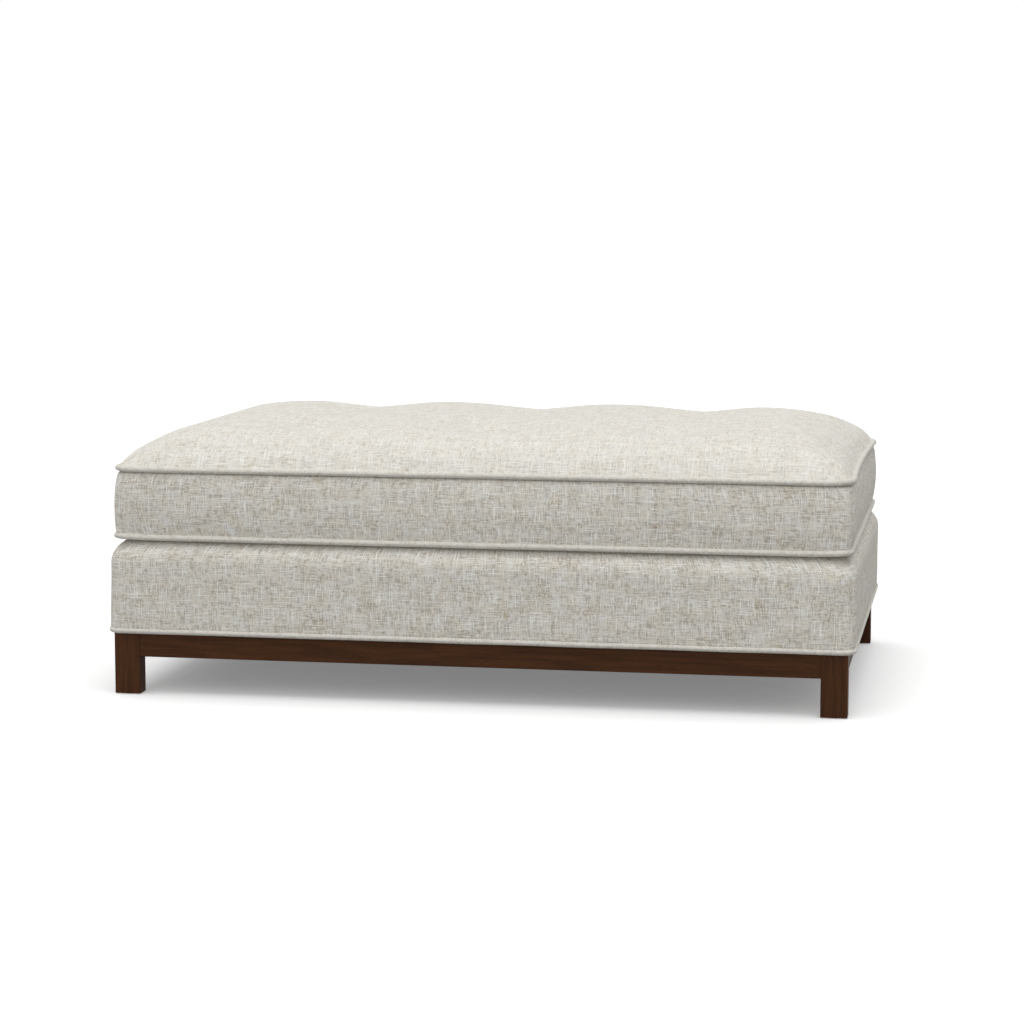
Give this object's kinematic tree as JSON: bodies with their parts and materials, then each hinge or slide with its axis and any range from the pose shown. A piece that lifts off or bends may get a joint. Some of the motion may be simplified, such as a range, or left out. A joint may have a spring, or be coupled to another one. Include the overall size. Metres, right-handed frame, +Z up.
{
  "type": "ottoman coffee table",
  "caption": "Long low upholstered ottoman: a loose tufted, welted box cushion on a padded box with a square-legged wooden frame.",
  "frame": {"origin": "on the floor under the middle of the ottoman", "axes": "+X along the length towards the right end, -Y towards the front, +Z up"},
  "size_m": [1.278, 0.787, 0.462],
  "materials": {
    "walnut": "satin clear coat on dark walnut",
    "softwood": "bare planed softwood",
    "show_fabric": "heathered plain weave, off white with beige slubs",
    "deck_fabric": "plain cotton deck cloth",
    "dust_fabric": "black non-woven cloth",
    "webbing": "woven elastic webbing",
    "felt": "needled felt",
    "wadding": "bonded fibre wadding",
    "foam": "open-cell upholstery foam",
    "twine": "waxed twine",
    "glide_nylon": "moulded nylon",
    "anchor_plastic": "moulded plastic",
    "screw_steel": "zinc plated"
  },
  "bodies": {
    "base": {"leg_front_left": "walnut", "leg_front_right": "walnut", "leg_back_left": "walnut", "leg_back_right": "walnut", "rail_back": "walnut", "rail_front": "walnut", "rail_right": "walnut", "rail_left": "walnut", "rail_dowels": "softwood", "leg_glides": "glide_nylon", "leg_corner_blocks": "softwood", "corner_block_screws": "screw_steel", "mounting_screws": "screw_steel", "mounting_washers": "screw_steel", "dust_cover": "dust_fabric", "box_board_back": "softwood", "box_board_front": "softwood", "box_board_right": "softwood", "box_board_left": "softwood", "box_corner_posts": "softwood", "box_stretchers": "softwood", "webbing_cross_strips": "webbing", "webbing_long_strips": "webbing", "deck_insulator": "felt", "deck_foam": "foam", "side_pad_back": "wadding", "side_pad_front": "wadding", "side_pad_right": "wadding", "side_pad_left": "wadding", "base_cover": "show_fabric", "deck_cloth": "deck_fabric", "base_welt": "show_fabric"},
    "cushion": {"cushion_top_panel": "show_fabric", "cushion_boxing": "show_fabric", "cushion_bottom_panel": "show_fabric", "cushion_top_welt": "show_fabric", "cushion_bottom_welt": "show_fabric", "cushion_foam_core": "foam", "cushion_crown_pad": "wadding", "tuft_twines": "twine", "tuft_anchors": "anchor_plastic"}
  },
  "joints": [
    {"name": "cushion_lift", "type": "slide", "parent": "base", "child": "cushion", "axis": [0, 0, 1], "range_m": [0, 0.25]}
  ]
}
